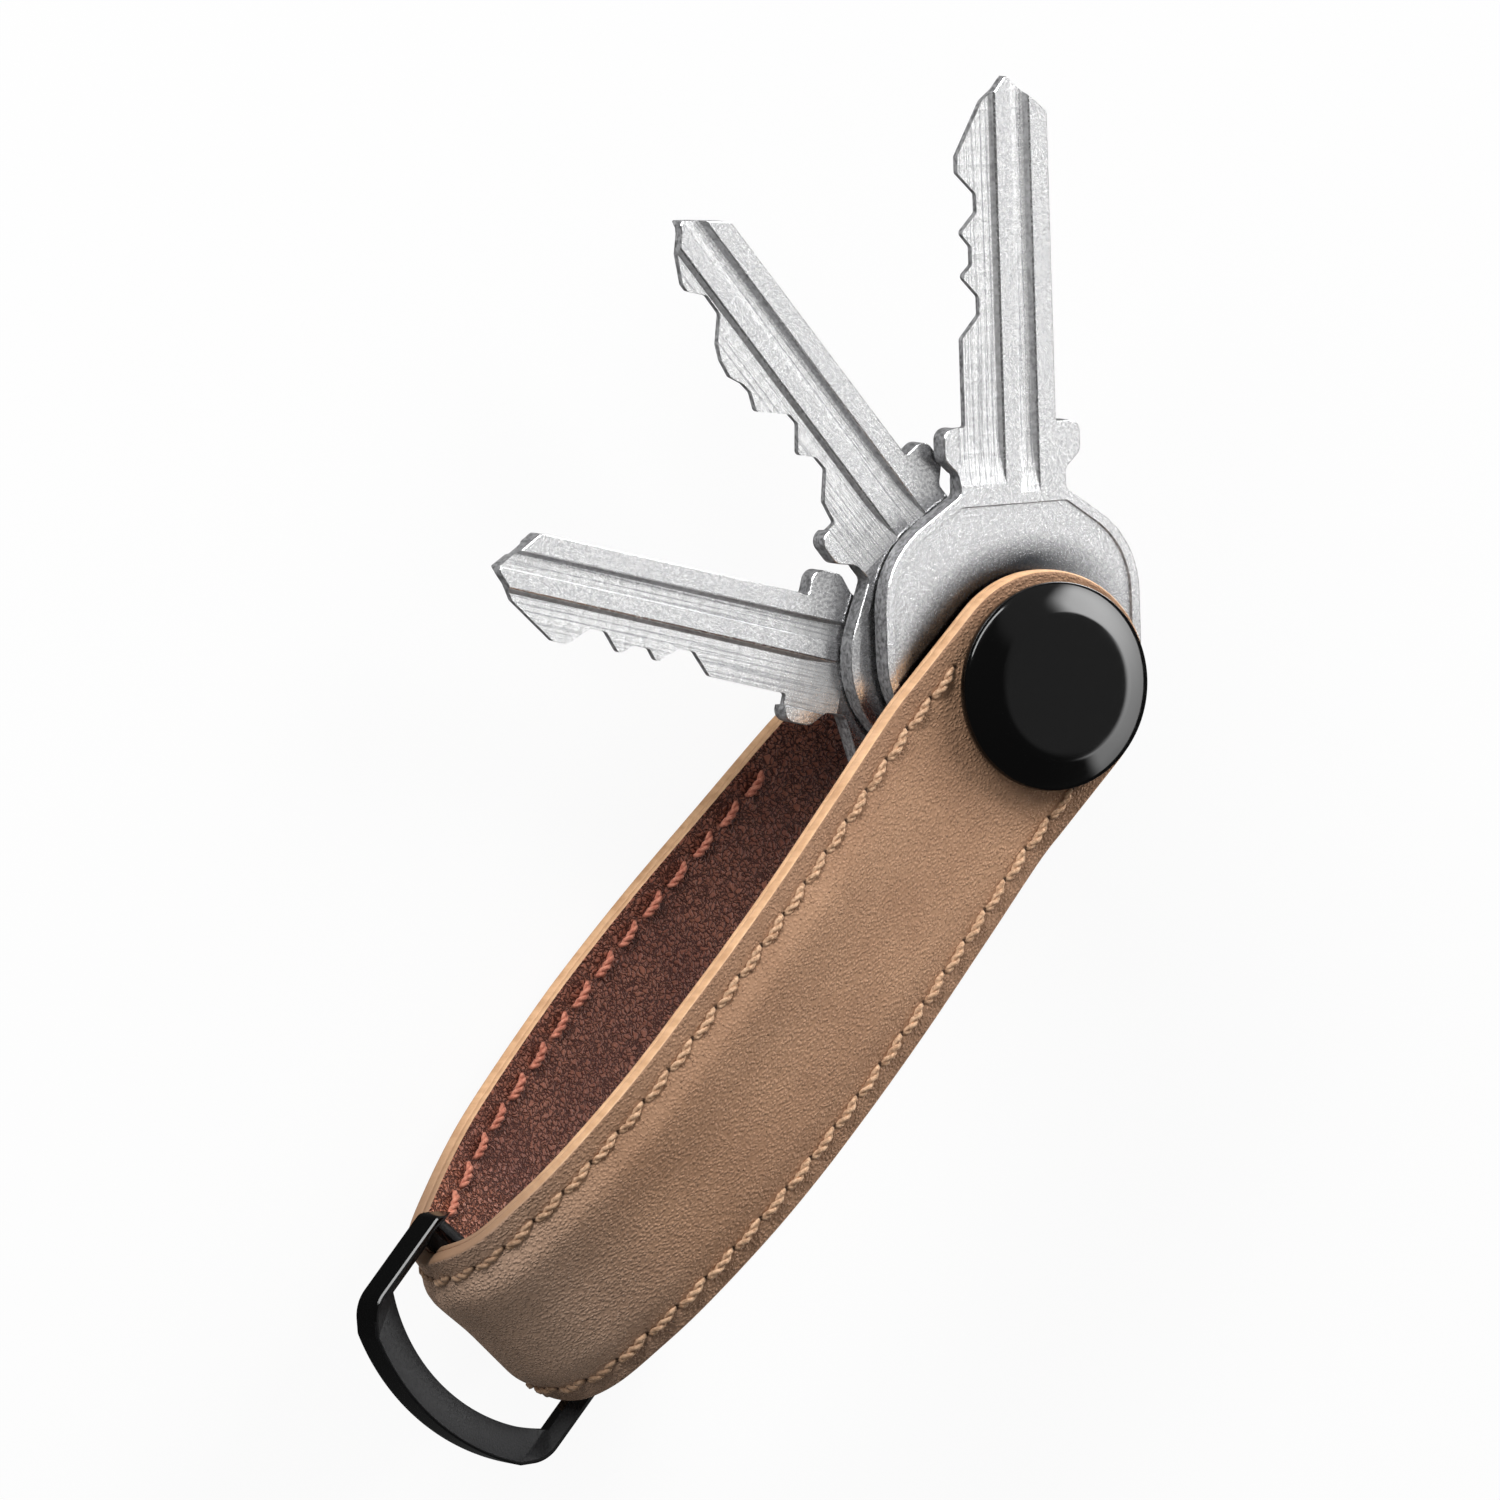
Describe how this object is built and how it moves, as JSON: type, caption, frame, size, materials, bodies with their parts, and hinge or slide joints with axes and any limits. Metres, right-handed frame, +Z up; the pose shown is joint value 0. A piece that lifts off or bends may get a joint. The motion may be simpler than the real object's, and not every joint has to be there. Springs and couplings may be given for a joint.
{
  "type": "key organizer",
  "caption": "Leather strap folded over a black loop, with a screw post through its ends that holds house keys so they turn out like blades.",
  "frame": {"origin": "middle of the footprint, on the surface that the lock screw's head rests on", "axes": "+Z up along the screw post's axis, +X along the strap from the loop towards the post, +Y to the side where the keys are fanned out"},
  "size_m": [0.1172, 0.0618, 0.0268],
  "materials": {
    "outer_leather": "smooth full-grain leather, pebbled, semi-matte",
    "lining": "grained lining leather, satin",
    "outside_thread": "two-ply twisted waxed thread",
    "lining_thread": "two-ply twisted waxed thread",
    "key_metal": "nickel-plated, tumbled heads and milled blades",
    "post_steel": "turned steel",
    "black_cap": "high gloss",
    "black_metal": "gloss black coat on cast metal",
    "nylon": "moulded nylon"
  },
  "bodies": {
    "strap": {"outer_leather": "outer_leather", "lining": "lining", "thread_outside_left": "outside_thread", "thread_outside_right": "outside_thread", "thread_lining_left": "lining_thread", "thread_lining_right": "lining_thread", "front_cap": "black_cap", "post_barrel": "post_steel", "spacer_upper": "nylon", "spacer_lower": "nylon", "flat_washer": "post_steel", "wave_washer": "post_steel"},
    "key_front": {"key_front": "key_metal"},
    "key_middle": {"key_middle": "key_metal"},
    "key_rear": {"key_rear": "key_metal"},
    "loop": {"loop": "black_metal"},
    "screw_washer": {"screw_washer": "nylon"},
    "lock_screw": {"lock_screw": "black_metal"}
  },
  "joints": [
    {"name": "key_front_turn", "type": "hinge", "parent": "strap", "child": "key_front", "pos_m": [0.02266, -0.01992, 0.01784], "axis": [0, 0, 1], "continuous": true},
    {"name": "key_middle_turn", "type": "hinge", "parent": "strap", "child": "key_middle", "pos_m": [0.02266, -0.01992, 0.01557], "axis": [0, 0, 1], "continuous": true},
    {"name": "key_rear_turn", "type": "hinge", "parent": "strap", "child": "key_rear", "pos_m": [0.02266, -0.01992, 0.0133], "axis": [0, 0, 1], "continuous": true},
    {"name": "loop_swing", "type": "hinge", "parent": "strap", "child": "loop", "pos_m": [-0.04534, -0.01977, 0.0135], "axis": [-0.0523, 0.9986, 0], "range_deg": [-88, 64]},
    {"name": "screw_travel", "type": "slide", "parent": "strap", "child": "screw_washer", "axis": [0, 0, -1], "range_m": [0, 0.0108]},
    {"name": "screw_turn", "type": "hinge", "parent": "screw_washer", "child": "lock_screw", "pos_m": [0.02266, -0.01992, 0.0016], "axis": [0, 0, -1], "range_deg": [0, 4860]}
  ],
  "couplings": [
    {"joint": "screw_travel", "follows": "screw_turn", "m_per_rad": 0.00012732}
  ]
}
